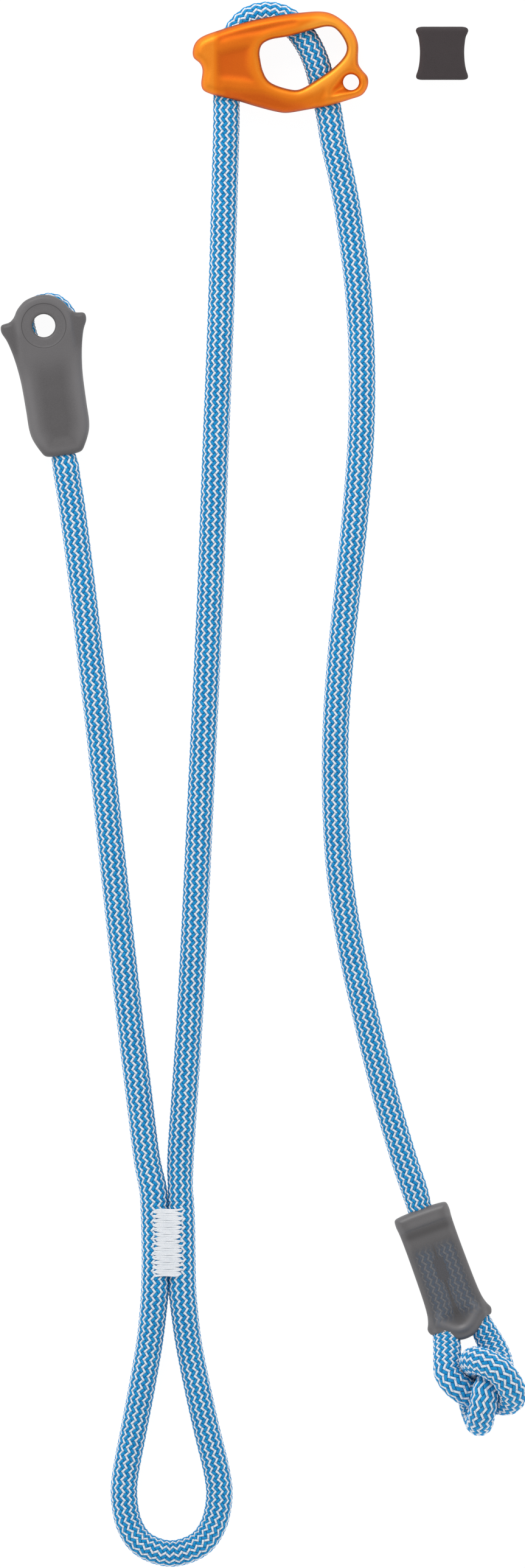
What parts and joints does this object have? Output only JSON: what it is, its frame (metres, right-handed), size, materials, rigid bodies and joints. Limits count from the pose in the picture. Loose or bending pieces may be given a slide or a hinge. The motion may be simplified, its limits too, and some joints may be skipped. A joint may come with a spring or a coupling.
{
  "type": "tree climbing lanyard",
  "caption": "Adjustable flip line of blue and white kernmantle rope with a forged orange adjuster, sleeved sewn ends, a stitched tie-in loop, a stopper knot and a loose rubber keeper.",
  "frame": {"origin": "middle of the left panel of the adjuster's back face, which lies on the surface", "axes": "+Y along the lanyard from the tie-in loop to the adjuster, +X towards the adjustable arm, +Z away from the surface it is laid out on"},
  "size_m": [0.1958, 0.5843, 0.0356],
  "materials": {
    "anodised_aluminium": "satin orange anodised forging",
    "rope_braid": "blue and white braided sheath",
    "moulded_sleeve": "soft grey moulding",
    "keeper_rubber": "fine-grained matt rubber",
    "sewing_thread": "white bonded thread"
  },
  "bodies": {
    "tie_in": {"rope_stitched_left": "rope_braid", "rope_stitched_right": "rope_braid", "tie_in_tack_front": "sewing_thread", "tie_in_tack_back": "sewing_thread", "rope_main_lower": "rope_braid", "rope_main_upper": "rope_braid", "keeper": "keeper_rubber"},
    "tie_in_loop": {"rope_tie_in_loop": "rope_braid"},
    "left_arm": {"rope_left_arm": "rope_braid"},
    "left_end": {"left_sleeve": "moulded_sleeve", "rope_left_eye": "rope_braid", "left_tack_front": "sewing_thread", "left_tack_back": "sewing_thread"},
    "adjuster": {"adjuster_body": "anodised_aluminium", "rope_adjuster_bend": "rope_braid"},
    "right_arm": {"rope_right_arm": "rope_braid"},
    "right_end": {"right_sleeve": "moulded_sleeve", "rope_right_end": "rope_braid", "right_tack_front": "sewing_thread", "right_tack_back": "sewing_thread"}
  },
  "joints": [
    {"name": "loop_swing", "type": "hinge", "parent": "tie_in", "child": "tie_in_loop", "pos_m": [-0.0216, -0.4552, 0.0063], "axis": [0, 0, 1], "range_deg": [-15, 15], "deforming": ["rope_tie_in_loop"]},
    {"name": "left_arm_swing", "type": "hinge", "parent": "tie_in", "child": "left_arm", "pos_m": [-0.0269, -0.4239, 0.0063], "axis": [0, 0, 1], "range_deg": [-2, 75], "deforming": ["rope_left_arm"]},
    {"name": "left_sleeve_swing", "type": "hinge", "parent": "left_arm", "child": "left_end", "pos_m": [-0.0608, -0.145, 0.0062], "axis": [0, 0, 1], "range_deg": [-25, 25], "deforming": ["rope_left_arm"]},
    {"name": "adjuster_slide", "type": "slide", "parent": "tie_in", "child": "adjuster", "axis": [-0.0371, -0.9993, 0], "range_m": [0, 0.25], "deforming": ["rope_main_upper"]},
    {"name": "right_arm_swing", "type": "hinge", "parent": "adjuster", "child": "right_arm", "pos_m": [0.0379, -0.015, 0.009], "axis": [0, 0, 1], "range_deg": [-3, 60], "deforming": ["rope_right_arm"]},
    {"name": "right_sleeve_swing", "type": "hinge", "parent": "right_arm", "child": "right_end", "pos_m": [0.0722, -0.426, 0.0062], "axis": [0, 0, 1], "range_deg": [-20, 25], "deforming": ["rope_right_arm"]}
  ]
}
